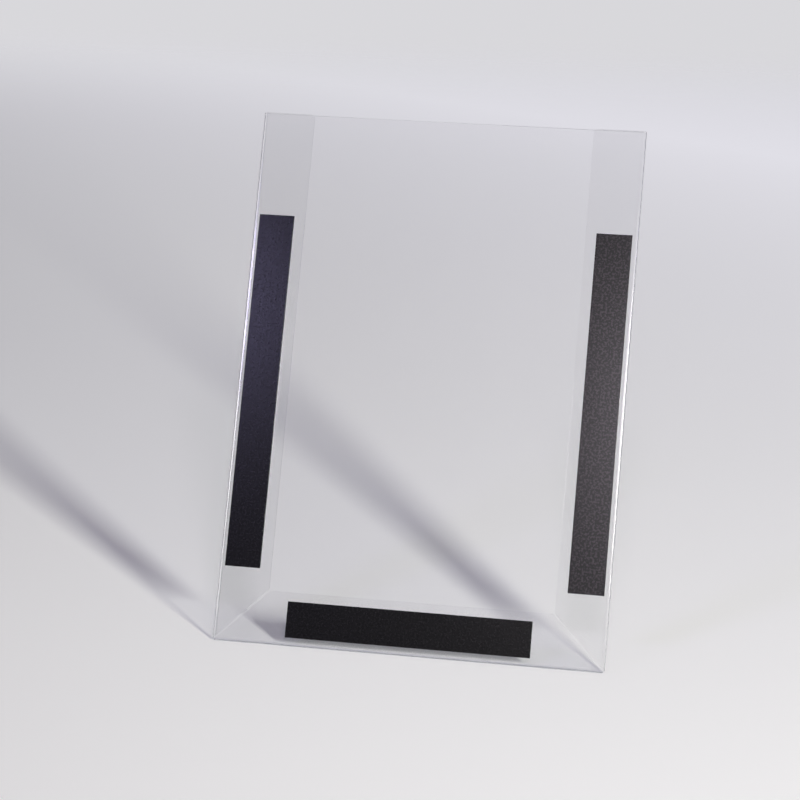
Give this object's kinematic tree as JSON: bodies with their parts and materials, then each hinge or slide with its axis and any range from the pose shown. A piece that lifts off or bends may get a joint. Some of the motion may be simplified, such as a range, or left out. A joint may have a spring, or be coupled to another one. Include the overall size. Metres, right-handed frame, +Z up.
{
  "type": "magnetic display pocket",
  "caption": "Clear rigid-plastic A4 pocket, open at the top, with mitred flaps folded behind its sides and bottom that carry magnetic rubber strips for holding it on a steel surface",
  "frame": {"origin": "centre of the bottom magnetic strip's outer face, which lies against the steel", "axes": "+Z up along the pocket's height, towards its open top; +Y from the steel towards the display side; X across the width, with -X on the left as seen from the magnet side"},
  "size_m": [0.218, 0.0036, 0.301],
  "materials": {
    "clear_sheet": "clear, smooth, glossy",
    "magnet_rubber": "satin, finely grained",
    "adhesive_tape": "tacky, slightly hazy"
  },
  "bodies": {
    "front_panel": {"front_panel": "clear_sheet", "left_fold": "clear_sheet", "right_fold": "clear_sheet", "bottom_fold": "clear_sheet"},
    "left_flap": {"left_flap": "clear_sheet", "left_adhesive_tape": "adhesive_tape", "left_magnet_strip": "magnet_rubber"},
    "right_flap": {"right_flap": "clear_sheet", "right_adhesive_tape": "adhesive_tape", "right_magnet_strip": "magnet_rubber"},
    "bottom_flap": {"bottom_flap": "clear_sheet", "bottom_adhesive_tape": "adhesive_tape", "bottom_magnet_strip": "magnet_rubber"}
  },
  "joints": [
    {"name": "left_fold_hinge", "type": "hinge", "parent": "front_panel", "child": "left_flap", "pos_m": [-0.1078, 0.00235, 0.1365], "axis": [0, 0, -1], "range_deg": [0, 90], "stiffness_Nm_per_rad": 0.05, "deforming": ["left_fold"]},
    {"name": "right_fold_hinge", "type": "hinge", "parent": "front_panel", "child": "right_flap", "pos_m": [0.1078, 0.00235, 0.1365], "axis": [0, 0, 1], "range_deg": [0, 90], "stiffness_Nm_per_rad": 0.05, "deforming": ["right_fold"]},
    {"name": "bottom_fold_hinge", "type": "hinge", "parent": "front_panel", "child": "bottom_flap", "pos_m": [0, 0.00235, -0.0134], "axis": [1, 0, 0], "range_deg": [0, 90], "stiffness_Nm_per_rad": 0.05, "deforming": ["bottom_fold"]}
  ]
}
